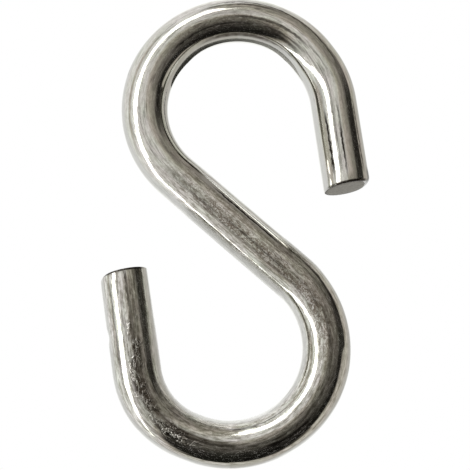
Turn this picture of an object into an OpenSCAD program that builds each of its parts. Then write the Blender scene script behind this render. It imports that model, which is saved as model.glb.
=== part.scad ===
// S hook bent from one length of round steel rod.
// The rod lies in the XZ plane. The origin is the seat on which the hook hangs:
// the highest point of the inside of the upper hook. +Z is up, and +X is the side
// on which the upper hook opens.

/* [Rod] */
// Diameter of the round rod
rod_d = 5; // [3:0.5:8]

/* [Shank] */
// Length of the straight part between the two hooks
shank_length = 16.3; // [8:0.1:40]
// Slope of the shank below the horizontal
shank_slope = 41.4; // [35:0.1:55]

/* [Upper hook] */
// Inside radius of the crown, which bears on the rail
upper_crown_r = 7.4; // [5:0.1:16]
// Angle through which the crown is bent
upper_crown_angle = 193; // [150:1:205]
// Inside radius of the easier bend from the crown to the leg
upper_lead_r = 7.6; // [5:0.1:20]
// Angle of that easier bend
upper_lead_angle = 28; // [10:1:45]
// Straight leg, from the end of the bend to the cut end
upper_leg = 9.6; // [6:0.1:20]

/* [Lower hook] */
// Inside radius of the crown, which carries the load
lower_crown_r = 7.4; // [5:0.1:16]
// Angle through which the crown is bent
lower_crown_angle = 159; // [150:1:180]
// Inside radius of the tighter bend from the crown to the leg
lower_lead_r = 5.9; // [4:0.1:12]
// Angle of that tighter bend
lower_lead_angle = 61; // [20:1:75]
// Straight leg, from the end of the bend to the cut end
lower_leg = 10.3; // [6:0.1:20]

/* [Bending] */
// Short straight length that the bender leaves between a crown and its next bend
between_bends = 0.6; // [0.3:0.1:3]

/* [Cropped ends] */
// Skew of the cut: the outer side of each leg is left shorter
cut_skew = 4; // [0:0.5:8]
// Radius rolled over on the outer side, where the cropping blade entered
rollover_r = 0.7; // [0.2:0.1:1]
// Width of the broken edge round each cut face
edge_break = 0.12; // [0.05:0.01:0.3]

/* [Hidden] */
$fn = 96;

rod_r = rod_d / 2;

// A bend is drawn a hair thinner than the rod and laps a little way into the
// straight lengths on both sides, so that every joint is a clean one.
hair = 0.004;
lap = 0.1;

// The rolled-over corner stands this much proud of a round that is tangent to the
// side and to the cut.
rollover_ease = 0.03;

// The crown's centre lies straight below the seat, and the shank leaves the crown
// where it is tangent to it.
crown_centre = [0, 0, -upper_crown_r];
shank_axis = [-cos(shank_slope), 0, sin(shank_slope)];
away_from_crown = [-sin(shank_slope), 0, -cos(shank_slope)];
shank_middle = crown_centre
    + (upper_crown_r + rod_r) * away_from_crown
    - shank_length / 2 * shank_axis;

// The rod is followed along local +Z, and each bend turns it towards local -X.

// A straight length of rod, with what follows it set on its end.
module straight(length) {
    cylinder(h = length, r = rod_r);
    translate([0, 0, length])
        children();
}

// A bend, with what follows it set on its end.
module bend(inside_r, angle) {
    path_r = inside_r + rod_r;
    lap_angle = lap / path_r * 180 / PI;
    translate([-path_r, 0, 0]) {
        rotate([90, 0, 0])
            rotate_extrude(start = -lap_angle, angle = angle + 2 * lap_angle)
                translate([path_r, 0])
                    circle(r = rod_r - hair);
        rotate([0, -angle, 0])
            translate([path_r, 0, 0])
                children();
    }
}

// The space that a cropped end may fill: below a skewed plane with a broken edge.
// It is one cone, widening at 45 degrees from the cut to below the leg's start.
module crop_limit(length) {
    cut_face_r = rod_r - edge_break;
    reach = length + rod_d;
    translate([0, 0, length])
        rotate([0, cut_skew, 0])
            mirror([0, 0, 1])
                cylinder(h = reach, r1 = cut_face_r, r2 = cut_face_r + reach);
}

// What the blade rolls off the outer side of a cropped end, which is local +X.
module rollover(length) {
    corner_z = length - rod_r * tan(cut_skew);
    inset = rollover_r - rollover_ease;
    centre = [rod_r - inset, corner_z - inset * (1 - sin(cut_skew)) / cos(cut_skew)];
    rotate([90, 0, 0])
        translate([0, 0, -rod_r])
            difference() {
                linear_extrude(height = rod_d)
                    polygon([
                        centre,
                        centre + [rod_d, 0],
                        centre + [rod_d, rod_d],
                        centre + rod_d * [sin(cut_skew), cos(cut_skew)]
                    ]);
                translate([centre[0], centre[1], -rod_r])
                    cylinder(h = 2 * rod_d, r = rollover_r);
            }
}

// A straight leg with its cropped end.
module leg(length) {
    difference() {
        intersection() {
            cylinder(h = length + rod_r, r = rod_r);
            crop_limit(length);
        }
        rollover(length);
    }
}

// From the end of the shank: the crown, the bend that leads in to it, and the leg.
module hook_end(crown_r, crown_angle, lead_r, lead_angle, leg_length) {
    bend(crown_r, crown_angle)
        straight(between_bends)
            bend(lead_r, lead_angle)
                leg(leg_length);
}

module upper_hook() {
    straight(shank_length / 2)
        hook_end(upper_crown_r, upper_crown_angle, upper_lead_r, upper_lead_angle, upper_leg);
}

module lower_hook() {
    straight(shank_length / 2)
        hook_end(lower_crown_r, lower_crown_angle, lower_lead_r, lower_lead_angle, lower_leg);
}

module hook() {
    color([0.66, 0.65, 0.62])
        translate(shank_middle)
            rotate([0, 90 - shank_slope, 180]) {
                upper_hook();
                rotate([0, 180, 0])
                    lower_hook();
            }
}

hook();
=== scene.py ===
import math

import bpy
import numpy as np
from mathutils import Matrix, Vector


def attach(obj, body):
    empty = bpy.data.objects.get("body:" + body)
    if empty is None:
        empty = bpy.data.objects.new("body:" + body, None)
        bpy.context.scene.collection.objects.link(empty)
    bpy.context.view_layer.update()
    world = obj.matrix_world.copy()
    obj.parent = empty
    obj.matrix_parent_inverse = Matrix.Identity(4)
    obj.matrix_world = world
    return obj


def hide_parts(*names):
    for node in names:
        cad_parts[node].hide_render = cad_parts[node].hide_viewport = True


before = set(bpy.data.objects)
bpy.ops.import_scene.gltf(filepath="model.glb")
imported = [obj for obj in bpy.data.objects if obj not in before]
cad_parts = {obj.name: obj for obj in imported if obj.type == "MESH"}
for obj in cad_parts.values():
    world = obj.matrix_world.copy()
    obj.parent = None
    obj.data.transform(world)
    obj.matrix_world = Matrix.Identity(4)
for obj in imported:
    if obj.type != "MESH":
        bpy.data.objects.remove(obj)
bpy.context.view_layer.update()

MM = 0.001

# ---------------------------------------------------------------- the rod's own sizes, in mm

ROD_R = 2.5
SHANK_LENGTH = 16.3
SHANK_SLOPE = math.radians(41.4)
BETWEEN_BENDS = 0.6             # the short straight between a crown and the bend that leads in
# from the shank outwards: inside radius and angle of the crown and of the lead-in bend, then the leg
UPPER = {"crown_r": 7.4, "crown_angle": 193, "lead_r": 7.6, "lead_angle": 28, "leg": 9.6}
LOWER = {"crown_r": 7.4, "crown_angle": 159, "lead_r": 5.9, "lead_angle": 61, "leg": 10.3}

CUT_SKEW = math.radians(4)      # the outer side of each leg is left shorter
EDGE_BREAK = 0.12               # radius of the broken edge round most of the cut
ROLLOVER = 0.7                  # radius that the cropping blade rolls over on the outer side
ROLLOVER_FROM = 0.45            # how far out, of the rod's radius, the edge starts to swell to it
ROLLOVER_SWELL = 1.4            # 1 would swell evenly, more swells late
EDGE_SEGMENTS = 5

ROUND = 96                      # vertices round the rod
RING_STEP = 0.36                # between two rings along the rod
FEWEST_BEND_RINGS = 8
END_STRETCH = 1.3               # left without rings at each cut, for its edge to round into
CUT_RINGS = (1.0, 0.5, 0.5)     # insets of the cut face
SHY = 0.006                     # the visible skin stays this far inside the part's own

RING_REACH = 3.2                # a ring's vertices lie nearer to its middle than this
ON_PLANE = 1e-3                 # a point this near to a plane lies in it
ON_RIM = 1e-2                   # a point this near to the rod's radius lies on its rim
NEAR_CUT, FAR_FROM_CUT = 8, 99.0
CUT_FACE_REACH = ROD_R + 0.3    # a cut's faces lie nearer to its middle than this
CUT_FACING = 0.995              # and point along the cut by at least this share
MERGE = 1e-7                    # metres
LEAST_PRESS = 1e-4              # a share of a press too small to feel
SMOOTH_ANGLE = math.radians(35)

SHANK_AXIS = Vector((-math.cos(SHANK_SLOPE), 0, math.sin(SHANK_SLOPE)))
CROWN_TO_SHANK = Vector((-math.sin(SHANK_SLOPE), 0, -math.cos(SHANK_SLOPE)))
SHANK_MIDDLE = (Vector((0, 0, -UPPER["crown_r"]))
                + (UPPER["crown_r"] + ROD_R) * CROWN_TO_SHANK
                - SHANK_LENGTH / 2 * SHANK_AXIS)

# Places along the rod are in mm from the shank's middle, positive towards the upper hook. A pair
# of places is where something sets in and where it is whole.
PRESS_DEPTH = 0.20              # both crowns are pressed in a little on their underside
PRESS_UNDER = (0.7, 1.0)        # how far under, of the rod's radius
UPPER_PRESS = ((20, 28), (43, 36))
LOWER_PRESS = ((-18, -28), (-42, -36))
NICK_DEPTH = 0.10               # a small nick on the lower leg's outer side
NICK_AT = -49.0
NICK_LENGTH = (0.9, 0.1)
NICK_OUT = (0.86, 0.99)


# ---------------------------------------------------------------- the rod's path

class Stretch:
    """One straight or one bend of the rod: where it starts, which way it runs, how far it goes."""

    def __init__(self, start, heading, length, radius=None, turn=0.0, done=0.0):
        self.start, self.heading, self.length = start, heading, length
        self.radius, self.turn, self.done = radius, turn, done
        if radius:
            side = Vector((heading.z, 0, -heading.x))      # towards the centre of the bend
            self.centre = start + radius * side
            spun = Matrix.Rotation(turn, 3, "Y")
            self.end = self.centre + spun @ (start - self.centre)
            self.end_heading = spun @ heading
        else:
            self.end = start + length * heading
            self.end_heading = heading


def path_of(side, heading):
    """The stretches from the shank's middle to one cut end. Each bend turns clockwise."""
    stretches = []
    start, done = SHANK_MIDDLE.copy(), 0.0
    plan = [(SHANK_LENGTH / 2, None), (side["crown_r"], side["crown_angle"]), (BETWEEN_BENDS, None),
            (side["lead_r"], side["lead_angle"]), (side["leg"], None)]
    for size, angle in plan:
        if angle is None:
            part = Stretch(start, heading, size, done=done)
        else:
            radius, turn = size + ROD_R, math.radians(angle)
            part = Stretch(start, heading, radius * turn, radius, turn, done)
        stretches.append(part)
        start, heading, done = part.end, part.end_heading, done + part.length
    return stretches


UPPER_PATH = path_of(UPPER, SHANK_AXIS)
LOWER_PATH = path_of(LOWER, -SHANK_AXIS)
LEGS = (UPPER_PATH[-1], LOWER_PATH[-1])


def cut_normal(leg):
    return Matrix.Rotation(-CUT_SKEW, 3, "Y") @ leg.heading


# ---------------------------------------------------------------- small helpers for modelling

def select_none():
    bpy.ops.object.select_all(action="DESELECT")


def make_active(piece):
    select_none()
    bpy.context.view_layer.objects.active = piece
    piece.select_set(True)


def leave_edit():
    bpy.ops.object.mode_set(mode="OBJECT")


def select_ring(piece, point, normal):
    """Selects the ring of vertices that lies in a plane across the rod, in mm."""
    bpy.ops.mesh.select_all(action="DESELECT")
    leave_edit()
    for v in piece.data.vertices:
        away = v.co / MM - point
        v.select = abs(away.dot(normal)) < ON_PLANE and away.length < RING_REACH
    bpy.ops.object.mode_set(mode="EDIT")
    bpy.ops.mesh.select_mode(type="VERT")
    bpy.ops.mesh.select_mode(type="EDGE")


def extrude_ring(move):
    bpy.ops.mesh.extrude_region_move(TRANSFORM_OT_translate={"value": tuple(move * MM)})


def apply(piece, modifier):
    make_active(piece)
    bpy.ops.object.modifier_apply(modifier=modifier.name)


# ---------------------------------------------------------------- the rod

def sweep(piece, path):
    """Extrudes the shank's middle ring along one hook: straights by extrude, bends by spin."""
    select_ring(piece, SHANK_MIDDLE, SHANK_AXIS)
    for part in path:
        last = part is path[-1]
        if part.radius:
            steps = max(FEWEST_BEND_RINGS, round(part.length / RING_STEP))
            bpy.ops.mesh.spin(steps=steps, angle=part.turn, center=tuple(part.centre * MM),
                              axis=(0, -1, 0))
            continue
        plain = part.length - (END_STRETCH if last else 0)
        steps = max(1, round(plain / RING_STEP))
        for _ in range(steps):
            extrude_ring(part.heading * plain / steps)
        if last:
            extrude_ring(part.heading * END_STRETCH)
            crop(part)


def crop(leg):
    """Tilts the last ring to the blade's skewed cut and closes it with a ringed face."""
    bpy.ops.transform.rotate(value=CUT_SKEW, orient_axis="Y", center_override=tuple(leg.end * MM))
    bpy.ops.mesh.edge_face_add()
    for width in CUT_RINGS:
        bpy.ops.mesh.inset(thickness=width * MM, depth=0)


def build_rod():
    lean = SHANK_SLOPE - math.pi / 2
    bpy.ops.mesh.primitive_circle_add(vertices=ROUND, radius=ROD_R * MM, fill_type="NOTHING",
                                      location=tuple(SHANK_MIDDLE * MM), rotation=(0, lean, 0))
    rod = bpy.context.object
    rod.name = "hook_rod"
    bpy.ops.object.transform_apply(location=True, rotation=True, scale=True)
    make_active(rod)
    bpy.ops.object.mode_set(mode="EDIT")
    sweep(rod, UPPER_PATH)
    sweep(rod, LOWER_PATH)
    bpy.ops.mesh.select_all(action="SELECT")
    bpy.ops.mesh.remove_doubles(threshold=MERGE)
    bpy.ops.mesh.normals_make_consistent(inside=False)
    leave_edit()
    round_cut_edges(rod)
    return rod


def round_cut_edges(rod):
    """Bevels the rim of each cut: a broken edge, swelling to the rollover on the outer side."""
    mesh = rod.data
    weights = mesh.attributes.new("bevel_weight_edge", "FLOAT", "EDGE")
    points = [v.co / MM for v in mesh.vertices]
    for leg in LEGS:
        normal = cut_normal(leg)
        outer = Vector((-leg.heading.z, 0, leg.heading.x))
        rim = {i for i, p in enumerate(points)
               if abs((p - leg.end).dot(normal)) < ON_PLANE
               and abs((p - leg.end).length - ROD_R) < ON_RIM}
        for edge in mesh.edges:
            a, b = edge.vertices
            if a in rim and b in rim:
                facing = ((points[a] + points[b]) / 2 - leg.end).dot(outer) / ROD_R
                share = max(0.0, (facing - ROLLOVER_FROM) / (1 - ROLLOVER_FROM))
                radius = EDGE_BREAK + (ROLLOVER - EDGE_BREAK) * share ** ROLLOVER_SWELL
                weights.data[edge.index].value = radius / ROLLOVER
    bevel = rod.modifiers.new("cut edges", "BEVEL")
    bevel.limit_method = "WEIGHT"
    bevel.width = ROLLOVER * MM
    bevel.segments = EDGE_SEGMENTS
    bevel.use_clamp_overlap = False
    apply(rod, bevel)


# ---------------------------------------------------------------- the rod's own coordinates

def straightened(points):
    """Each point of the rod in mm as (distance along the rod, across it in the hook's plane, out
    of that plane), as if the rod were never bent. Distance runs from the shank's middle, and is
    positive towards the upper hook. Across is positive towards the inside of the upper hook."""
    before_start = 1.0      # radians before a bend that still count as before it
    off_weight = 10         # a point beyond a stretch's ends belongs to its neighbour
    best = np.full(len(points), 1e9)
    found = np.zeros((len(points), 3))
    for path, sign in ((UPPER_PATH, 1.0), (LOWER_PATH, -1.0)):
        for part in path:
            start, heading = np.array(part.start), np.array(part.heading)
            side = np.array((heading[2], 0, -heading[0]))
            if part.radius:
                arm = points - np.array(part.centre)
                angle = np.arctan2(arm @ heading, -(arm @ side))
                reach = np.hypot(arm @ heading, arm @ side)
                along = np.mod(angle + before_start, 2 * np.pi) - before_start
                excess = np.clip(along, 0, part.turn) - along
                along, across = along * part.radius, part.radius - reach
                off = np.abs(excess) * part.radius
            else:
                along = (points - start) @ heading
                across = (points - start) @ side
                limit = part.length + (ROD_R if part is path[-1] else 0)
                off = np.abs(np.clip(along, 0, limit) - along)
            distance = np.sqrt(across ** 2 + points[:, 1] ** 2) + off_weight * off
            closer = distance < best
            best = np.where(closer, distance, best)
            local = np.stack((sign * (part.done + along), sign * across, points[:, 1]), 1)
            found = np.where(closer[:, None], local, found)
    return found


def depth_under_cut(points):
    """How far each point near a cut lies below it, in mm."""
    to_cut = np.full(len(points), FAR_FROM_CUT)
    for leg in LEGS:
        left = np.array(leg.end) - points
        near = np.linalg.norm(left, axis=1) < NEAR_CUT
        to_cut = np.where(near, left @ np.array(cut_normal(leg)), to_cut)
    return to_cut


def step(value, low, high):
    """A smooth step from 0 at low to 1 at high, either way round."""
    t = np.clip((value - low) / (high - low), 0, 1)
    return t * t * (3 - 2 * t)


def press(rod, name, weight, depth):
    """Pushes the skin in along its normals, depth mm where weight is 1."""
    group = rod.vertex_groups.new(name=name)
    for index in np.nonzero(weight > LEAST_PRESS)[0]:
        group.add([int(index)], float(weight[index]), "REPLACE")
    push = rod.modifiers.new(name, "DISPLACE")
    push.vertex_group, push.mid_level, push.strength = name, 0.0, -depth * MM
    apply(rod, push)


def store_coordinates(rod, local, to_cut):
    straight = rod.data.attributes.new("straight_rod", "FLOAT_VECTOR", "POINT")
    straight.data.foreach_set("vector", local.astype(np.float32).ravel())
    distance = rod.data.attributes.new("to_cut", "FLOAT", "POINT")
    distance.data.foreach_set("value", to_cut.astype(np.float32))


def shape_and_mark(rod):
    """Stores the rod's coordinates, then presses both crowns in a little and nicks one leg."""
    points = np.array([v.co for v in rod.data.vertices]) / MM
    local = straightened(points)
    store_coordinates(rod, local, depth_under_cut(points))
    along, across, _ = local.T
    under = step(across / ROD_R, *PRESS_UNDER)
    upper, lower = (step(along, *start) * step(along, *end)
                    for start, end in (UPPER_PRESS, LOWER_PRESS))
    press(rod, "flattened", under * np.maximum(upper, lower), PRESS_DEPTH)
    nick = step(np.abs(along - NICK_AT), *NICK_LENGTH) * step(across / ROD_R, *NICK_OUT)
    press(rod, "nick", nick, NICK_DEPTH)
    press(rod, "shy", np.ones(len(local)), SHY)


# ---------------------------------------------------------------- nodes

class Nodes:
    """Adds nodes to a tree by name and joins them."""

    def __init__(self, tree):
        self.tree = tree

    def add(self, kind, inputs=(), **settings):
        node = self.tree.nodes.new("ShaderNode" + kind)
        for key, value in settings.items():
            setattr(node, key, value)
        for key, value in dict(inputs).items():
            self.put(value, node.inputs[key])
        return node

    def put(self, value, socket):
        if isinstance(value, bpy.types.NodeSocket):
            self.tree.links.new(value, socket)
        else:
            socket.default_value = value

    def math(self, operation, a, b=0.0, c=0.0):
        return self.add("Math", {0: a, 1: b, 2: c}, operation=operation).outputs[0]

    def times(self, a, b):
        return self.math("MULTIPLY", a, b)

    def plus(self, a, b):
        return self.math("ADD", a, b)

    def minus(self, a, b):
        return self.math("SUBTRACT", a, b)

    def times_plus(self, a, b, c):
        """a times b, plus c."""
        return self.math("MULTIPLY_ADD", a, b, c)

    def size_of(self, a):
        return self.math("ABSOLUTE", a)

    def degrees(self, a):
        return self.times(a, 180 / math.pi)

    def split(self, vector):
        return self.add("SeparateXYZ", {0: vector}).outputs

    def fade(self, value, low, high, to_low=0.0, to_high=1.0):
        """A smooth step from to_low at low to to_high at high, either way round."""
        return self.add("MapRange", {"Value": value, "From Min": low, "From Max": high,
                                     "To Min": to_low, "To Max": to_high},
                        interpolation_type="SMOOTHSTEP").outputs["Result"]

    def line(self, value, low, high, to_low=0.0, to_high=1.0):
        """A straight run from to_low at low to to_high at high, held level past both ends."""
        return self.add("MapRange", {"Value": value, "From Min": low, "From Max": high,
                                     "To Min": to_low, "To Max": to_high}).outputs["Result"]

    def window(self, value, start, end, soft):
        """1 between start and end, fading to 0 over soft at both sides."""
        rise = self.fade(value, start - soft, start + soft)
        return self.times(rise, self.fade(value, end + soft, end - soft))

    def blend(self, amount, a, b):
        """From number a to number b."""
        return self.add("Mix", {"Factor": amount, "A": a, "B": b}, data_type="FLOAT").outputs[0]

    def tint(self, amount, a, b, mode="MIX"):
        """From colour a to colour b."""
        node = self.add("Mix", data_type="RGBA", blend_type=mode)
        factor, colour_a, colour_b = (node.inputs[i] for i in (0, 6, 7))
        self.put(amount, factor)
        self.put(a, colour_a)
        self.put(b, colour_b)
        return node.outputs[2]

    def noise(self, vector, scale, detail=2.0, roughness=0.5, distortion=0.0):
        return self.add("TexNoise", {"Vector": vector, "Scale": scale, "Detail": detail,
                                     "Roughness": roughness, "Distortion": distortion}).outputs[0]

    def streaks(self, straight, length, *pattern):
        """Noise on the straightened rod, drawn out along it length times."""
        squeezed = self.add("Mapping", {"Vector": straight, "Scale": (1 / length, 1, 1)}).outputs[0]
        return self.noise(squeezed, *pattern)

    def bump(self, height):
        """Height in mm."""
        return self.add("Bump", {"Strength": 1.0, "Distance": MM, "Height": height}).outputs[0]

    def surface(self, **inputs):
        """The material's own shader, joined to its output."""
        inputs = {name.replace("_", " "): value for name, value in inputs.items()}
        shader = self.add("BsdfPrincipled", inputs)
        self.put(shader.outputs[0], self.add("OutputMaterial").inputs[0])


def new_group(name, inputs, outputs):
    """A node group. An input is (kind, value); a kind is v for vector, f for number."""
    group = bpy.data.node_groups.new(name, "ShaderNodeTree")
    kinds = {"v": "NodeSocketVector", "f": "NodeSocketFloat"}
    for socket, (kind, value) in inputs.items():
        made = group.interface.new_socket(socket, in_out="INPUT", socket_type=kinds[kind])
        if value is not None:
            made.default_value = value
    for socket in outputs:
        group.interface.new_socket(socket, in_out="OUTPUT", socket_type=kinds["f"])
    given, out = group.nodes.new("NodeGroupInput"), group.nodes.new("NodeGroupOutput")
    return group, Nodes(group), given.outputs, out.inputs


def use_group(nodes, group, inputs):
    node = nodes.tree.nodes.new("ShaderNodeGroup")
    node.node_tree = group
    for key, value in inputs.items():
        nodes.put(value, node.inputs[key])
    return node.outputs


def new_material(name):
    material = bpy.data.materials.new(name)
    material.use_nodes = True
    material.node_tree.nodes.clear()
    return material, Nodes(material.node_tree)


# ---------------------------------------------------------------- patterns of the steel

# each noise: how far it is drawn out along the rod, then its scale, detail, roughness, distortion
FLUTES = (30, 1.5, 1.0)
FINE_LINES = (18, 4.5, 1.0)
LINE_TONE = (12, 6.5, 2.0, 0.6)
SCORES = (20, 3.2, 2.0, 0.6, 0.1)
SCORE_BREAKS = (5, 1.2, 3.0, 0.6)
SCUFFS = (10, 8.0, 2.0, 0.65)
GRAIN = (2.2, 5.0, 2.0, 0.6)
MOTTLE = (3.0, 4.0, 3.0, 0.65)
VEINS = (1.8, 2.0, 3.0, 0.6, 1.6)
HAZE = (2.5, 7.0, 2.0, 0.7)
BLISTERS = (1.8, 3.0, 2.0, 0.6, 0.5)
BLISTER_CLUSTERS = (2.5, 0.9, 2.0)
MARK_WAVER = (8, 1.6, 2.0)
COLOUR_CAST = (3, 1.3, 2.0)
MIDDLE = 0.5                    # the middle of a noise's values

# between which of its noise's values, or how near to the middle, a pattern sets in and is whole
LINE_TONE_SPAN = MOTTLE_SPAN = (0.3, 0.7)
SCORE_RIDGE, SCORE_BREAK_SPAN = (0.06, 0.02), (0.48, 0.62)
SCUFF_SPAN = (0.54, 0.70)
VEIN_RIDGE = (0.065, 0.02)
HAZE_SPAN = (0.50, 0.72)
BLISTER_SPAN, BLISTER_DIRT_SPAN, CLUSTER_SPAN = (0.46, 0.60), (0.52, 0.42), (0.40, 0.55)
CAST_SPAN = (0.35, 0.65)
FINE_LINE_HEIGHT = 0.27         # of the flutes' height

# the sheared face: how far its tears are drawn out, and its noises across them
TEAR_SQUEEZE = 0.35
TEARS, FINE_TEARS = (3.0, 3.0, 0.65, 0.4), (9.0, 2.0, 0.6)
TEAR_SHARE = 0.6
TEAR_SPAN = (0.4, 0.8)


def draw_lines_group():
    """Lengthwise lines that the drawing die leaves: flutes, fine lines, scored and scuffed ones."""
    group, n, given, out = new_group("draw lines", {"Straight": ("v", None)},
                                     ("Height", "Tone", "Score", "Scuff"))
    straight = given["Straight"]
    flutes, lines = n.streaks(straight, *FLUTES), n.streaks(straight, *FINE_LINES)
    n.put(n.times_plus(lines, FINE_LINE_HEIGHT, flutes), out["Height"])
    n.put(n.line(n.streaks(straight, *LINE_TONE), *LINE_TONE_SPAN), out["Tone"])
    ridge = n.size_of(n.minus(n.streaks(straight, *SCORES), MIDDLE))
    broken = n.fade(n.streaks(straight, *SCORE_BREAKS), *SCORE_BREAK_SPAN)
    n.put(n.times(n.fade(ridge, *SCORE_RIDGE), broken), out["Score"])
    n.put(n.fade(n.streaks(straight, *SCUFFS), *SCUFF_SPAN), out["Scuff"])
    return group


def grain_group():
    """The fine grain of pickled and tumbled steel: a height, a mottle, veins and dull specks."""
    group, n, given, out = new_group("grain", {"Straight": ("v", None)},
                                     ("Height", "Mottle", "Vein", "Haze"))
    straight = given["Straight"]
    n.put(n.streaks(straight, *GRAIN), out["Height"])
    n.put(n.streaks(straight, *MOTTLE), out["Mottle"])
    ridge = n.size_of(n.minus(n.streaks(straight, *VEINS), MIDDLE))
    n.put(n.fade(ridge, *VEIN_RIDGE), out["Vein"])
    n.put(n.fade(n.streaks(straight, *HAZE), *HAZE_SPAN), out["Haze"])
    return group


def pits_group():
    """Small blisters where the rod was gripped and bent: height, dirt between them, clusters."""
    group, n, given, out = new_group("pits", {"Straight": ("v", None)},
                                     ("Height", "Dirt", "Where"))
    straight = given["Straight"]
    lumps = n.streaks(straight, *BLISTERS)
    n.put(n.fade(lumps, *BLISTER_SPAN), out["Height"])
    n.put(n.fade(lumps, *BLISTER_DIRT_SPAN), out["Dirt"])
    n.put(n.fade(n.streaks(straight, *BLISTER_CLUSTERS), *CLUSTER_SPAN), out["Where"])
    return group


def mark_group():
    """One dark line along the rod, at an angle round it, wavering a little."""
    ends = (-1, 1.5)            # mm before and after its start and end over which it fades
    sides = (1.5, 0.5)          # of its half width
    group, n, given, out = new_group(
        "mark", {"Along": ("f", None), "Round": ("f", None), "Waver": ("f", None),
                 "From": ("f", 0.0), "To": ("f", 1.0), "Angle": ("f", 0.0), "Width": ("f", 1.5)},
        ("Mark",))
    off = n.minus(n.plus(given["Round"], given["Waver"]), given["Angle"])
    line = n.fade(n.math("DIVIDE", n.size_of(off), given["Width"]), *sides)
    start = n.fade(n.minus(given["Along"], given["From"]), *ends)
    end = n.fade(n.minus(given["To"], given["Along"]), *ends)
    n.put(n.times(line, n.times(start, end)), out["Mark"])
    return group


def shear_group():
    """The face a cropping blade leaves: fine parallel tears, smeared at the side it came in by."""
    group, n, given, out = new_group("sheared face", {"Straight": ("v", None)}, ("Height", "Tone"))
    way = n.split(given["Straight"])
    flat = n.add("CombineXYZ", {0: n.times(way[1], TEAR_SQUEEZE), 1: way[2]}).outputs[0]
    torn, fine = n.noise(flat, *TEARS), n.noise(flat, *FINE_TEARS)
    n.put(torn, out["Height"])
    both = n.times_plus(fine, TEAR_SHARE, n.times(torn, TEAR_SHARE))
    n.put(n.line(both, *TEAR_SPAN), out["Tone"])
    return group


# ---------------------------------------------------------------- where the steel's marks lie

# Along the rod is in mm from the shank's middle, positive towards the upper hook; across it is in
# mm, positive towards the inside of the upper hook; round it is in degrees from the front, and
# positive the same way. Two numbers are where a thing sets in and where it is whole. Three are
# its start, its end and how softly it ends. Four run from the third to the fourth between the
# first two.

# dark lines: start and end along the rod, place round it, half their width in degrees, darkness
MARKS = ((44, 55.7, 43.6, 1.5, 0.3), (43.5, 48.5, 34, 4, 0.3), (39.5, 43.5, 51.3, 2.2, 0.6),
         (35.5, 41, 56.8, 2, 0.5), (48.5, 55.7, 31.9, 2.8, 1), (48, 55.5, 11.2, 2.6, 0.45),
         (43, 48.5, 12.6, 2.4, 0.3), (40, 45, 19.3, 2, 0.3), (50.5, 55.7, 0.1, 2.4, 0.85),
         (47.5, 52, -1.7, 2.2, 0.45), (40, 45, 2.2, 2.4, 0.4), (47.5, 55.5, -47, 2.6, 0.75),
         (42, 49, -39.1, 2.4, 0.3), (35.5, 44, -31.8, 2.4, 0.7), (30, 37, -33.7, 2.2, 0.6),
         (31.5, 40.5, 8.8, 3, 0.75), (36.5, 40.5, 33.7, 4, 0.8), (36, 41, 23.7, 2.6, 0.7),
         (23, 34, 24.6, 2.4, 0.5), (30.5, 37, -16.5, 2.2, 0.3), (28, 33, -24.8, 2.5, 0.4),
         (9, 12, 0.4, 1.8, 0.3), (8.5, 12, 20.2, 2.5, 0.4), (15.5, 21, 37, 3, 0.5),
         (12, 16.5, 30, 3, 0.5), (3.5, 8.5, -4.8, 1.8, 0.25), (2, 8.5, -14.7, 2.4, 0.4),
         (-5.2, 3.8, 31.7, 2.3, 1), (-7, 1, -9.3, 3, 0.4), (-12, 4.5, -23.8, 2.6, 0.3),
         (-13.5, -8, 37, 3, 0.8), (-13, -8, 23.7, 2, 0.5), (-12.5, -8, -3.2, 3, 0.35),
         (-16.5, -12, 5, 4, 0.4), (-20, -16, 8.2, 3.5, 0.35), (-24, -20, 10.9, 3, 0.4),
         (-24, -20, 32.7, 2.5, 0.4), (-28.5, -23.5, 12.4, 2.4, 0.6), (-29, -23.5, 23, 3.5, 0.85),
         (-31, -28, 10, 2.4, 0.4), (-32, -24, -35.3, 1.6, 0.5), (-38, -31, 3.4, 3, 0.7),
         (-38, -31.5, -2.9, 3.5, 0.6), (-41, -35.5, 2.5, 2.5, 0.2), (-41, -35.5, -5.6, 3, 0.5),
         (-47, -36, -42.8, 3, 0.5), (-47, -37, -31.1, 2.2, 0.3), (-54.5, -44, 35.4, 2.4, 0.5),
         (-55.7, -51.5, -5.6, 3, 0.55), (-52, -47, -6, 3.5, 0.5), (-37, -32, -41, 2, 0.45),
         (31.5, 36.5, -26.5, 2.3, 0.6))
WAVER_BY_NOISE, WAVER_BY_MOTTLE = 4.0, 9.0      # degrees

# darkened stretches: start and end along the rod, start and end round it, darkness. The two darkest,
# on the upper crown's inner side, are painted shade, a painted reflection of a shadow behind the
# crown; the others darken the colour in patches
STAINS = ((-13, 6, -24, 9, 0.12), (0, 9, -24, -6, 0.3), (-14, -6, -24, -5, 0.25),
          (-24, -10, 0, 22, 0.4), (-25, -18, 22, 38, 0.4), (-44, -33, -13, 9, 0.55),
          (-48, -38, -24, 12, 0.55), (-49, -40, -18, -1, 0.9), (-56, -47, -18, -3, 0.3),
          (35, 41, 22, 42, 0.45), (28, 37, 50, 62, 1.0), (28, 36, 50, 61, 1.0),
          (28.5, 34, -10, 2, 0.45), (48, 56, -41, -28, 0.75), (-29, -18, 6, 30, 0.3),
          (-40, -36, 10, 20, 0.4), (-44, -40, 8, 18, 0.45), (-40, -36, -46, -34, 0.35))
STAIN_SOFT_ALONG, STAIN_SOFT_ROUND = 2.5, 5
STAIN_BREAKS = (0.3, 0.6, 1.0, 0.6)             # by the mottle

FRONT_SIDE = (0.4, -0.4)                        # out of the hook's plane, in mm

# the shank and the upper crown are veined
SHANK_VEINS = {"along": (-18, 7, 5), "across": (-1.1, 1.3, 0.35)}
STRONG_VEINS = {"round": (-28, 4, 8), "elsewhere": 0.45}
CROWN_VEINS = {"along": (24, 38, 2.5), "round": (2, 50, 6), "strength": 0.55}

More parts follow.
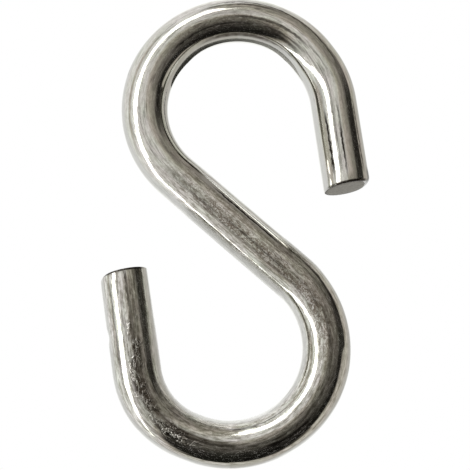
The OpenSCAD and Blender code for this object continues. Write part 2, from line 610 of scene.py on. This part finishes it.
# the lower bend is blistered along a track that crosses from the one side to the other
BLISTER_TRACK = {"along": (-50, -36, 2.5), "middle": (-52, -38, -0.55, 0.25),
                 "width": (-0.6, 0.6, 0.3)}

# draw lines and relief die away towards the rims, and on a stretch of the shank that mirrors the
# leg's highlight, where the colour is also brightened as a painted reflection
CALM_RIMS = (32, 50, 1.0, 0.06)
RUBBED = {"along": (-4.5, 6, 1), "round": (26, 50, 4), "relief": 0.2, "brightness": 0.8}
WORN = (-58, 8, 3)                              # along: the lower hook and the shank

# the gripped faces: where they lie, and how far in mm one side stands back from the other
UPPER_FLAT = {"along": (34, 46), "round": (-15, 49.5), "height": -0.24}
LOWER_FLAT = {"along": (-44.5, -40.5, 2), "round": (10, 50), "height": -0.09}

# dark at the cut ends, a painted dark reflection on each broken edge: mm from the cut, how the
# mottle breaks it up, and away from the rims
CUT_EDGE = {"from_cut": (0.32, 0.16), "mottle": (0.25, 0.5, 0.5, 1.0), "rims": (70, 40)}
UPPER_CORNER = {"along": (54.7, 55.5), "round": (-52, -66), "darkness": 0.7}

GREY_RIMS = {"round": (48, 62), "strength": 0.7}
DULL_BEND = {"along": (-50, -28, 4), "round": (-36, -48)}
DULL_SHANK_LEFT = {"along": (-9, 5, 2), "round": (-48, -51)}
DULL_SHANK_RIGHT = {"along": (-10, -5, 1), "round": (38, 44)}

# ---------------------------------------------------------------- how much of each

LINE_HEIGHT, GRAIN_HEIGHT, BLISTER_HEIGHT = 0.022, 0.003, 0.052     # mm
ROUGH_PLAIN, ROUGH_WORN, ROUGH_VEINED = 0.4, 0.2, 0.9               # added up where they meet
MOTTLE_AND_LINES, GRAIN_TONE = 0.5, 0.5                             # what makes up the tone
CONTRAST_PLAIN, CONTRAST_WORN = 0.85, 1.25
TONE_PLAIN, TONE_WORN = 0.58, -0.06
SCORE_DARKNESS = 0.4
STEEL_ROUGHNESS, SCUFF_ROUGHNESS, DULL_ROUGHNESS = 0.13, 0.22, 0.3
HAZE_STRENGTH = 0.16

GREY_STEEL, BRIGHT_STEEL = (0.43, 0.419, 0.367, 1), (0.995, 0.992, 0.945, 1)
PINK_CAST, GREEN_CAST = (1.022, 0.985, 0.99, 1), (0.985, 1.003, 0.95, 1)
VEIN_BROWN = (0.28, 0.235, 0.19, 1)
RIM_GREY = (0.72, 0.725, 0.70, 1)
RUBBED_STEEL = (0.99, 0.985, 0.97, 1)
DIRT = (0.035, 0.028, 0.022, 1)
STAIN_BROWN = (0.10, 0.085, 0.07, 1)

CUT_DARK, CUT_PALE = (0.125, 0.118, 0.095, 1), (0.30, 0.283, 0.233, 1)
# a dark ring round the rim of each cut face, a painted dark reflection of the broken edge
CUT_RIM_DARK = (0.09, 0.082, 0.07, 1)
CUT_RIM = (2.05, 2.3)                           # mm from the middle of the cut
CUT_TEARS = 0.03                                # mm
CUT_ROUGHNESS = 0.45


# ---------------------------------------------------------------- the steel

class Steel:
    """The rod's coordinates, its patterns and where each finish shows, as nodes of one material."""

    def __init__(self, n):
        self.n = n
        self.straight = rod_coordinates(n)
        self.along, self.across, self.back = n.split(self.straight)
        straight = {"Straight": self.straight}
        self.lines = use_group(n, draw_lines_group(), straight)
        self.grain = use_group(n, grain_group(), straight)
        self.pits = use_group(n, pits_group(), straight)
        self.round = n.degrees(n.math("ARCTAN2", self.across, n.times(self.back, -1.0)))
        self.from_front = n.size_of(self.round)

        front = n.fade(self.back, *FRONT_SIDE)
        face = n.times(n.window(self.across, *SHANK_VEINS["across"]), front)
        self.veined = n.times(n.window(self.along, *SHANK_VEINS["along"]), face)
        track = n.minus(self.across, n.line(self.along, *BLISTER_TRACK["middle"]))
        pitted = n.times(n.window(self.along, *BLISTER_TRACK["along"]),
                         n.window(track, *BLISTER_TRACK["width"]))
        self.pitted = n.times(pitted, n.times(self.pits["Where"], front))
        self.rubbed = self.patch(RUBBED)
        self.calm = n.times(n.fade(self.from_front, *CALM_RIMS),
                            n.blend(self.rubbed, 1.0, RUBBED["relief"]))
        self.worn = n.window(self.along, *WORN)
        self.rough = n.times_plus(self.veined, ROUGH_VEINED,
                                  n.times_plus(self.worn, ROUGH_WORN, ROUGH_PLAIN))

    def patch(self, place):
        """1 in a patch that ends softly along the rod and round it."""
        return self.n.times(self.n.window(self.along, *place["along"]),
                            self.n.window(self.round, *place["round"]))

    def side(self, place):
        """1 past a place round the rod, in a stretch that ends softly along it."""
        return self.n.times(self.n.window(self.along, *place["along"]),
                            self.n.fade(self.round, *place["round"]))

    def corner(self, place):
        """1 past a place along the rod and past a place round it."""
        return self.n.times(self.n.fade(self.along, *place["along"]),
                            self.n.fade(self.round, *place["round"]))


def rod_coordinates(n):
    return n.add("Attribute", attribute_name="straight_rod").outputs["Vector"]


def steel_relief(n, steel):
    """Draw lines, grain and blisters, and the two gripped faces as a lean of the surface."""
    height = n.times(steel.lines["Height"], LINE_HEIGHT)
    height = n.times_plus(n.times(steel.grain["Height"], steel.rough), GRAIN_HEIGHT, height)
    height = n.times(height, steel.calm)
    height = n.times_plus(n.times(steel.pits["Height"], steel.pitted), BLISTER_HEIGHT, height)
    height = n.times_plus(steel.corner(UPPER_FLAT), UPPER_FLAT["height"], height)
    return n.times_plus(steel.side(LOWER_FLAT), LOWER_FLAT["height"], height)


def dark_lines(n, steel):
    waver = n.times(n.minus(n.streaks(steel.straight, *MARK_WAVER), MIDDLE), WAVER_BY_NOISE)
    waver = n.times_plus(n.minus(steel.grain["Mottle"], MIDDLE), WAVER_BY_MOTTLE, waver)
    mark = mark_group()
    marks = 0.0
    for start, end, angle, half, depth in MARKS:
        one = use_group(n, mark, {"Along": steel.along, "Round": steel.round, "Waver": waver,
                                  "From": start, "To": end, "Angle": angle, "Width": half})
        marks = n.times_plus(one["Mark"], depth, marks)
    return marks


def steel_dirt(n, steel):
    """How dark the steel is made: dirt between blisters and in scores, the dark lines, and round the
    cuts a painted dark reflection on the broken edges.
    """
    dark = n.times(steel.pits["Dirt"], steel.pitted)
    dark = n.times_plus(n.times(steel.lines["Score"], steel.calm), SCORE_DARKNESS, dark)
    dark = n.math("MINIMUM", n.plus(dark, dark_lines(n, steel)), 1.0)
    to_cut = n.add("Attribute", attribute_name="to_cut").outputs["Fac"]
    # painted dark reflection on the front of each broken edge, broken up by the mottle
    edge = n.times(n.fade(to_cut, *CUT_EDGE["from_cut"]),
                   n.fade(steel.grain["Mottle"], *CUT_EDGE["mottle"]))
    edge = n.times(edge, n.fade(steel.from_front, *CUT_EDGE["rims"]))
    dark = n.math("MAXIMUM", dark, edge)
    corner = n.times(steel.corner(UPPER_CORNER), UPPER_CORNER["darkness"])
    return n.math("MAXIMUM", dark, corner)


def bare_steel_colour(n, steel):
    """Light and dark grain under the marks, with a faint cast that drifts from pink to green."""
    mottle = n.line(steel.grain["Mottle"], *MOTTLE_SPAN)
    tone = n.minus(n.times(n.plus(mottle, steel.lines["Tone"]), MOTTLE_AND_LINES), MIDDLE)
    tone = n.times_plus(n.minus(steel.grain["Height"], MIDDLE), GRAIN_TONE, tone)
    tone = n.times_plus(tone, n.times_plus(steel.worn, CONTRAST_WORN, CONTRAST_PLAIN),
                        n.times_plus(steel.worn, TONE_WORN, TONE_PLAIN))
    colour = n.tint(tone, GREY_STEEL, BRIGHT_STEEL)
    patchy = n.line(n.streaks(steel.straight, *COLOUR_CAST), *CAST_SPAN)
    return n.tint(1.0, colour, n.tint(patchy, PINK_CAST, GREEN_CAST), "MULTIPLY")


def steel_colour(n, steel):
    colour = bare_steel_colour(n, steel)
    veins = n.times(steel.veined, n.blend(n.window(steel.round, *STRONG_VEINS["round"]),
                                          STRONG_VEINS["elsewhere"], 1.0))
    veins = n.math("MAXIMUM", veins, n.times(steel.patch(CROWN_VEINS), CROWN_VEINS["strength"]))
    colour = n.tint(n.times(steel.grain["Vein"], veins), colour, VEIN_BROWN)
    rims = n.fade(steel.from_front, *GREY_RIMS["round"])
    colour = n.tint(n.times(rims, GREY_RIMS["strength"]), colour, RIM_GREY)
    # painted reflection: the shank's colour brightened where it mirrors the leg's highlight
    colour = n.tint(n.times(steel.rubbed, RUBBED["brightness"]), colour, RUBBED_STEEL)
    colour = n.tint(steel_dirt(n, steel), colour, DIRT)
    stained = n.line(steel.grain["Mottle"], *STAIN_BREAKS)
    # darkened patches, broken up by the mottle; those on the upper crown's inner side are a painted
    # reflection of shade
    for start, end, first, last, depth in STAINS:
        stain = steel.patch({"along": (start, end, STAIN_SOFT_ALONG),
                             "round": (first, last, STAIN_SOFT_ROUND)})
        colour = n.tint(n.times(stain, n.times(stained, depth)), colour, STAIN_BROWN)
    return colour


def steel_roughness(n, steel):
    scuff = n.times(steel.lines["Scuff"], steel.calm)
    roughness = n.times_plus(scuff, SCUFF_ROUGHNESS, n.times(steel.rough, STEEL_ROUGHNESS))
    dull = n.plus(steel.side(DULL_BEND),
                  n.plus(steel.side(DULL_SHANK_LEFT), steel.side(DULL_SHANK_RIGHT)))
    return n.times_plus(dull, DULL_ROUGHNESS, roughness)


def steel_metallic(n, steel):
    return n.minus(1.0, n.times(steel.grain["Haze"], n.times(steel.calm, HAZE_STRENGTH)))


def steel_material():
    material, n = new_material("bright_drawn_steel")
    steel = Steel(n)
    n.surface(Base_Color=steel_colour(n, steel), Metallic=steel_metallic(n, steel),
              Roughness=steel_roughness(n, steel), Normal=n.bump(steel_relief(n, steel)))
    return material


def cut_material():
    material, n = new_material("sheared_steel_end")
    straight = rod_coordinates(n)
    way = n.split(straight)
    shear = use_group(n, shear_group(), {"Straight": straight})
    from_middle = n.math("SQRT", n.plus(n.times(way[1], way[1]), n.times(way[2], way[2])))
    colour = n.tint(shear["Tone"], CUT_DARK, CUT_PALE)
    # painted dark reflection round the cut face's rim
    colour = n.tint(n.fade(from_middle, *CUT_RIM), colour, CUT_RIM_DARK)
    n.surface(Base_Color=colour, Metallic=1.0, Roughness=CUT_ROUGHNESS,
              Normal=n.bump(n.times(shear["Height"], CUT_TEARS)))
    return material


def dress(rod):
    """Gives the rod its steel, and the two cut faces theirs."""
    rod.data.materials.clear()
    rod.data.materials.append(steel_material())
    rod.data.materials.append(cut_material())
    make_active(rod)
    bpy.ops.object.shade_smooth_by_angle(angle=SMOOTH_ANGLE)
    for leg in LEGS:
        normal = cut_normal(leg)
        for f in rod.data.polygons:
            near = (f.center / MM - leg.end).length < CUT_FACE_REACH
            if near and f.normal.dot(normal) > CUT_FACING:
                f.material_index = 1


# ---------------------------------------------------------------- studio

CAMERA_RISE = math.radians(-13.5)       # the camera looks up at the hook
CAMERA_DISTANCE = 131.6                 # mm
LENS, SENSOR = 96.66, 36
CLIP = (0.01, 20)                       # metres
AIM_SHIFT = (0.142, -0.989)             # mm to the right and up from the shank's middle

STRIP_REACH = 0.5                       # metres from the hook to the strip light
STRIP_CENTRE = Vector((-0.761, -0.637, 0.122))      # which way it lies from the hook
STRIP_ALONG = Vector((0.384, -0.290, 0.877))        # and which way it runs
STRIP_SIDE = STRIP_CENTRE.cross(STRIP_ALONG).normalized()
STRIP_GLOW = 2.0                        # its brightness, a white wall being 1
# four straight parts of the strip: turn along it, shift across it, width and length in degrees
STRIP_PARTS = (("tail", -56.5, -3.0, 4.6, 17), ("low", -33, -4.0, 11.2, 31),
               ("middle", 0, -1.5, 15.2, 35), ("high", 37.5, 1.0, 17.2, 40))

# a small dark card, in mm; its dark side is painted shade that only mirrors see
FLAG_PLACE = Vector((-0.25, 3.5, -2.9))
FLAG_TURN = (math.radians(90), 0, 0)
FLAG_SIZE = (9.5, 3.1)
FLAG_FADE = (-2 * MM, 4 * MM)           # from its dark left to its pale right
FLAG_DARK, FLAG_PALE = (0.10, 0.10, 0.09, 1), (0.8, 0.8, 0.78, 1)

# the floor, in metres
FLOOR_SIZE = 1.2
FLOOR_DEPTH = -0.15
FLOOR_FADE = (0.55, 0.25)               # it melts into the white backdrop
FLOOR_PALE = (0.92, 0.92, 0.92, 1)
FLOOR_ROUGHNESS = 0.8

# The room that the metal mirrors, in degrees: round the hook from the front, positive to the
# right; up from the horizon; across the strip light, positive to the far left; along it, positive
# upwards. Two, three and four numbers are read as for the steel's marks. A level of 1 is white.
FRONT_BY_HEIGHT = ((-70, 0.012), (-50, 0.018), (-37, 0.045), (-14, 0.12), (-4, 0.17), (4, 0.21),
                   (10, 0.27), (16, 0.37), (40, 0.38), (52, 0.31), (65, 0.27), (90, 0.25))
FRONT_DIM = {"round": (15, 60), "up": (90, 70), "share": 0.5}
DARK_PATCH = {"round": (3, 30, 10), "up": (42, 54, 6), "share": 0.62}
GLOW = {"edge": (-65, 10, -12, -37), "soft": (-9, 6), "along": (-75, 110, 12),
        "level": (40, 85, 0.66, 0.24)}
PAPER = {"high_edge": (50, 66, 0, 17), "low_edge": (-60, -147, 7, -56), "low_from": (-50, -66),
         "soft": (-6, 6), "along": (160, 130), "level": (8, 50, 0.59, 0.81),
         "low_level": 0.81, "low_level_from": (-66, -84)}
RAIL = {"across": (22, 35, 5), "along": (-30, 40, 14), "level": 0.44}
GAP = {"round": (48, 62), "up": (50, 25), "strength": 0.85, "level": 0.012}
WALL = {"edge": (3, 9, 77, 96), "low_edge": (-30, -70, 0, 28), "soft": (-4, 4),
        "level": (40, 80, 0.47, 0.68), "more_behind": (100, 130, 0, 0.06)}
BEHIND = {"round": (138, 165), "up_from": (-36, -14), "up_to": (75, 45), "level": 1.15}
WARM_BELOW = (0.35, 0.75)               # what is dimmer than this is lit a little warmer
WARM, WHITE = (1.07, 1.0, 0.89, 1), (1, 1, 1, 1)


def aim(thing, place, direction, up):
    """Puts a camera or a lamp in place, looking along direction with its +Y along up."""
    back = -direction.normalized()
    right = up.cross(back).normalized()
    turn = Matrix((right, back.cross(right), back)).transposed()
    thing.matrix_world = Matrix.Translation(place) @ turn.to_4x4()


def add_camera():
    data = bpy.data.cameras.new("camera")
    data.lens, data.sensor_width = LENS, SENSOR
    data.clip_start, data.clip_end = CLIP
    camera = bpy.data.objects.new("camera", data)
    bpy.context.scene.collection.objects.link(camera)
    back = Vector((0, -math.cos(CAMERA_RISE), math.sin(CAMERA_RISE)))
    right = Vector((1, 0, 0))
    up = back.cross(right)
    place = (SHANK_MIDDLE + CAMERA_DISTANCE * back) * MM
    target = (SHANK_MIDDLE + AIM_SHIFT[0] * right + AIM_SHIFT[1] * up) * MM
    aim(camera, place, target - place, up)
    bpy.context.scene.camera = camera


def add_strip_light():
    """A long soft strip on the left, in straight parts bent round the hook."""
    centre = SHANK_MIDDLE * MM
    for name, turned, shift, wide, long in STRIP_PARTS:
        width = 2 * STRIP_REACH * math.tan(math.radians(wide) / 2)
        length = 2 * STRIP_REACH * math.tan(math.radians(long) / 2)
        data = bpy.data.lights.new("strip_" + name, "AREA")
        data.shape, data.size, data.size_y = "RECTANGLE", width, length
        data.energy = STRIP_GLOW * math.pi * width * length
        lamp = bpy.data.objects.new("strip_" + name, data)
        bpy.context.scene.collection.objects.link(lamp)
        turn = Matrix.Rotation(math.radians(turned), 3, STRIP_SIDE)
        out, along = turn @ STRIP_CENTRE.normalized(), turn @ STRIP_ALONG.normalized()
        out = Matrix.Rotation(math.radians(shift), 3, along) @ out
        aim(lamp, centre + STRIP_REACH * out, -out, along)
        lamp.visible_camera = False


class Room:
    """Where a ray goes, as nodes of the world: round the hook, up, across and along the strip."""

    def __init__(self, n):
        self.n = n
        self.ray = n.add("TexCoord").outputs["Generated"]
        x, y, z = n.split(self.ray)
        self.round = n.degrees(n.math("ARCTAN2", x, n.times(y, -1.0)))
        self.up = n.degrees(n.math("ARCSINE", z))
        self.across = n.degrees(n.math("ARCSINE", self.part_along(STRIP_SIDE)))
        self.along = n.degrees(n.math("ARCTAN2", self.part_along(STRIP_ALONG.normalized()),
                                      self.part_along(STRIP_CENTRE.normalized())))

    def part_along(self, axis):
        return self.n.add("VectorMath", {0: self.ray, 1: tuple(axis)},
                          operation="DOT_PRODUCT").outputs["Value"]


def dark_front(n, room):
    """The dark front of the room, brighter above, dimmer to the right, with a dark patch up."""
    height = n.math("DIVIDE", n.plus(room.up, 90.0), 180.0)
    front = n.add("ValToRGB", {0: height})
    stops = front.color_ramp.elements
    for rise, level in FRONT_BY_HEIGHT:
        stop = stops.new((rise + 90) / 180)
        stop.color = (level, level, level, 1)
    stops.remove(stops[-1])
    stops.remove(stops[0])
    dim = n.times(n.fade(room.round, *FRONT_DIM["round"]), n.fade(room.up, *FRONT_DIM["up"]))
    level = n.times(front.outputs[0], n.blend(dim, 1.0, FRONT_DIM["share"]))
    patch = n.times(n.window(room.up, *DARK_PATCH["up"]),
                    n.window(room.round, *DARK_PATCH["round"]))
    return n.times(level, n.blend(patch, 1.0, DARK_PATCH["share"]))


def left_side(n, room, level):
    """A glow beside the strip light, pale paper past it, and the dark frame on its far side."""
    glow = n.fade(n.minus(room.across, n.fade(room.along, *GLOW["edge"])), *GLOW["soft"])
    glow = n.times(glow, n.window(room.along, *GLOW["along"]))
    level = n.blend(glow, level, n.fade(room.along, *GLOW["level"]))

    low_edge = n.line(room.along, *PAPER["low_edge"])
    edge = n.blend(n.fade(room.along, *PAPER["low_from"]),
                   n.fade(room.along, *PAPER["high_edge"]), low_edge)
    paper = n.fade(n.minus(room.across, edge), *PAPER["soft"])
    paper = n.times(paper, n.fade(room.along, *PAPER["along"]))
    paper_level = n.blend(n.fade(room.along, *PAPER["low_level_from"]), PAPER["low_level"],
                          n.fade(room.across, *PAPER["level"]))
    level = n.blend(paper, level, paper_level)

    rail = n.times(n.window(room.across, *RAIL["across"]), n.window(room.along, *RAIL["along"]))
    return n.blend(rail, level, RAIL["level"])


def right_side(n, room, level):
    """A dark gap and then a grey wall."""
    gap = n.times(n.fade(room.round, *GAP["round"]),
                  n.times(n.fade(room.up, *GAP["up"]), GAP["strength"]))
    level = n.blend(gap, level, GAP["level"])
    edge = n.plus(n.fade(room.up, *WALL["edge"]), n.fade(room.up, *WALL["low_edge"]))
    wall = n.fade(n.minus(room.round, edge), *WALL["soft"])
    wall_level = n.plus(n.fade(room.up, *WALL["level"]), n.fade(room.round, *WALL["more_behind"]))
    return n.blend(wall, level, wall_level)


def white_behind(n, room, level):
    heights = n.times(n.fade(room.up, *BEHIND["up_from"]), n.fade(room.up, *BEHIND["up_to"]))
    behind = n.times(n.fade(n.size_of(room.round), *BEHIND["round"]), heights)
    return n.blend(behind, level, BEHIND["level"])


def add_world():
    """White behind the hook; what the metal mirrors is a room with pale walls and a dark front."""
    world = bpy.data.worlds.new("studio")
    world.use_nodes = True
    bpy.context.scene.world = world
    world.node_tree.nodes.clear()
    n = Nodes(world.node_tree)
    room = Room(n)
    level = dark_front(n, room)
    level = left_side(n, room, level)
    level = right_side(n, room, level)
    level = white_behind(n, room, level)
    warmth = n.tint(n.fade(level, *WARM_BELOW), WARM, WHITE)
    studio = n.add("Background", {"Color": warmth, "Strength": level})
    white = n.add("Background", {"Color": WHITE, "Strength": 1.0})
    camera_ray = n.add("LightPath").outputs["Is Camera Ray"]
    mix = n.add("MixShader", {0: camera_ray, 1: studio.outputs[0], 2: white.outputs[0]})
    n.put(mix.outputs[0], n.add("OutputWorld").inputs[0])


def add_flag():
    """A small dark card behind the upper crown, painted shade that darkens what its inner side
    mirrors.
    """
    bpy.ops.mesh.primitive_plane_add(size=1, location=tuple(FLAG_PLACE * MM), rotation=FLAG_TURN)
    flag = bpy.context.object
    flag.name = "black_flag"
    flag.scale = (FLAG_SIZE[0] * MM, FLAG_SIZE[1] * MM, 1)
    bpy.ops.object.transform_apply(location=False, rotation=False, scale=True)
    material, n = new_material("black_card")
    way = n.split(n.add("TexCoord").outputs["Object"])
    shade = n.tint(n.fade(way[0], *FLAG_FADE), FLAG_DARK, FLAG_PALE)
    n.surface(Base_Color=shade, Roughness=1.0)
    flag.data.materials.append(material)
    flag.visible_camera = False
    flag.visible_shadow = False
    flag.visible_diffuse = False


def add_floor():
    bpy.ops.mesh.primitive_plane_add(size=FLOOR_SIZE, location=(0, 0, FLOOR_DEPTH))
    floor = bpy.context.object
    floor.name = "floor"
    material, n = new_material("pale_floor")
    from_middle = n.add("VectorMath", {0: n.add("TexCoord").outputs["Object"]},
                        operation="LENGTH").outputs["Value"]
    n.surface(Base_Color=FLOOR_PALE, Roughness=FLOOR_ROUGHNESS,
              Alpha=n.fade(from_middle, *FLOOR_FADE))
    floor.data.materials.append(material)
    floor.visible_glossy = False


# ---------------------------------------------------------------- the scene

rod = build_rod()
shape_and_mark(rod)
dress(rod)
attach(rod, "root")
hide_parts("hook")

add_camera()
add_strip_light()
add_world()
add_floor()
add_flag()
bpy.context.scene.view_settings.view_transform = "Standard"
